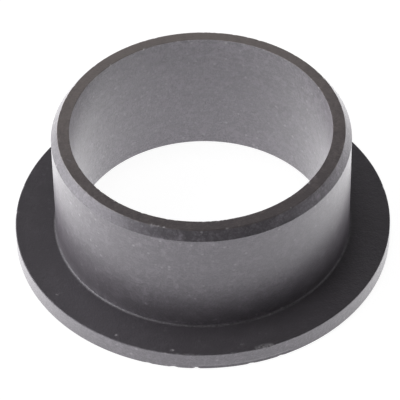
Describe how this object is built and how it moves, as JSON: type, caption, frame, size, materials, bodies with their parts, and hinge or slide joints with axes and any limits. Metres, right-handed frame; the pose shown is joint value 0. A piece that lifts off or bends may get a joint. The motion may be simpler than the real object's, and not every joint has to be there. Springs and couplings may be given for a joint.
{
  "type": "flanged sleeve bearing",
  "caption": "Thin-walled plastic sleeve bearing with a plain bore, a flat flange at one end that takes end thrust, and a lead-in chamfer round the free end.",
  "frame": {"origin": "on the bore's axis, at the outer face of the flange", "axes": "+Z along the bore to the free end of the sleeve; X and Y lie in the flange's face and are alike, because the part is round"},
  "size_m": [0.032, 0.032, 0.012],
  "materials": {
    "bearing_plastic": "satin"
  },
  "bodies": {
    "root": {"sleeve_bearing": "bearing_plastic"}
  },
  "joints": []
}
